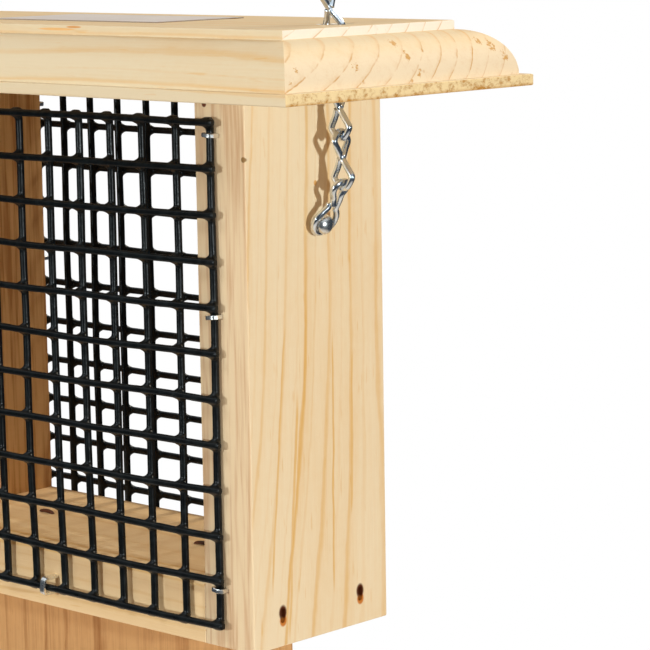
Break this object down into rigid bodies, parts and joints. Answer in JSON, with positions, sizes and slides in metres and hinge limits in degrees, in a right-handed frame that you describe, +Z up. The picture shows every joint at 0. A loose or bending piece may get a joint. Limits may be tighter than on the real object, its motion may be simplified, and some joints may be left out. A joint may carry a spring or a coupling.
{
  "type": "hanging suet bird feeder",
  "caption": "Hanging wooden suet-cake bird feeder with wire-mesh faces, a roof that lifts along its chains, and a tail prop board below.",
  "frame": {"origin": "inside top of the S-hook's upper bend, the point that the feeder hangs from", "axes": "+X to the right along the roof, +Y to the back, +Z up"},
  "size_m": [0.238, 0.1, 0.7491],
  "materials": {
    "pine": "planed, unfinished",
    "prop_wood": "planed, unfinished",
    "black_vinyl": "vinyl coat over wire",
    "zinc": "bright zinc",
    "bright_steel": "bright",
    "label": "glossy, blank"
  },
  "bodies": {
    "hanger": {"s_hook": "zinc"},
    "ring": {"hanging_ring": "zinc"},
    "chain_top": {"chain_top_links": "zinc"},
    "chain_right_upper_run": {"chain_right_upper": "zinc"},
    "chain_left_upper_run": {"chain_left_upper": "zinc"},
    "cage": {"side_board_right": "pine", "side_board_left": "pine", "floor_board": "pine", "tail_prop": "prop_wood", "mesh_front": "black_vinyl", "mesh_back": "black_vinyl", "floor_nails_right": "bright_steel", "floor_nails_left": "bright_steel", "prop_staples": "bright_steel", "chain_screw_right": "bright_steel", "chain_screw_left": "bright_steel", "chain_right_anchor": "zinc", "chain_left_anchor": "zinc", "staples_front_right": "bright_steel", "staples_front_left": "bright_steel", "staple_front_bottom": "bright_steel", "staples_back_right": "bright_steel", "staples_back_left": "bright_steel", "staple_back_bottom": "bright_steel"},
    "chain_right_lower_run": {"chain_right_lower": "zinc"},
    "chain_left_lower_run": {"chain_left_lower": "zinc"},
    "roof": {"roof_board": "pine", "roof_label": "label"}
  },
  "joints": [
    {"name": "side_swing", "type": "hinge", "parent": "hanger", "child": "ring", "pos_m": [0, 0, -0.04], "axis": [0, 1, 0], "range_deg": [-25, 25]},
    {"name": "fore_and_aft_swing", "type": "hinge", "parent": "ring", "child": "chain_top", "pos_m": [0, 0, -0.06062], "axis": [1, 0, 0], "range_deg": [-25, 25]},
    {"name": "cage_rise", "type": "slide", "parent": "chain_top", "child": "cage", "axis": [0, 0, 1], "range_m": [0, 0.00656]},
    {"name": "chain_right_upper_lean", "type": "hinge", "parent": "chain_top", "child": "chain_right_upper_run", "pos_m": [0.006, 0, -0.07224], "axis": [0, 1, 0], "range_deg": [-8.68, 0]},
    {"name": "chain_left_upper_lean", "type": "hinge", "parent": "chain_top", "child": "chain_left_upper_run", "pos_m": [-0.006, 0, -0.07224], "axis": [0, 1, 0], "range_deg": [0, 8.68]},
    {"name": "chain_right_lower_lean", "type": "hinge", "parent": "cage", "child": "chain_right_lower_run", "pos_m": [0.0903, 0, -0.39904], "axis": [0, 1, 0], "range_deg": [0, 14.75]},
    {"name": "chain_left_lower_lean", "type": "hinge", "parent": "cage", "child": "chain_left_lower_run", "pos_m": [-0.0903, 0, -0.39904], "axis": [0, 1, 0], "range_deg": [-14.75, 0]},
    {"name": "roof_lift", "type": "slide", "parent": "cage", "child": "roof", "axis": [0, 0, 1], "range_m": [0, 0.1215], "deforming": ["chain_right_lower", "chain_left_lower"]}
  ],
  "couplings": [
    {"joint": "cage_rise", "follows": "roof_lift", "ratio": 0.052943},
    {"joint": "chain_right_upper_lean", "follows": "roof_lift", "rad_per_m": -1.2222},
    {"joint": "chain_left_upper_lean", "follows": "roof_lift", "rad_per_m": 1.2222},
    {"joint": "chain_right_lower_lean", "follows": "roof_lift", "rad_per_m": 2.0779},
    {"joint": "chain_left_lower_lean", "follows": "roof_lift", "rad_per_m": -2.0779}
  ]
}
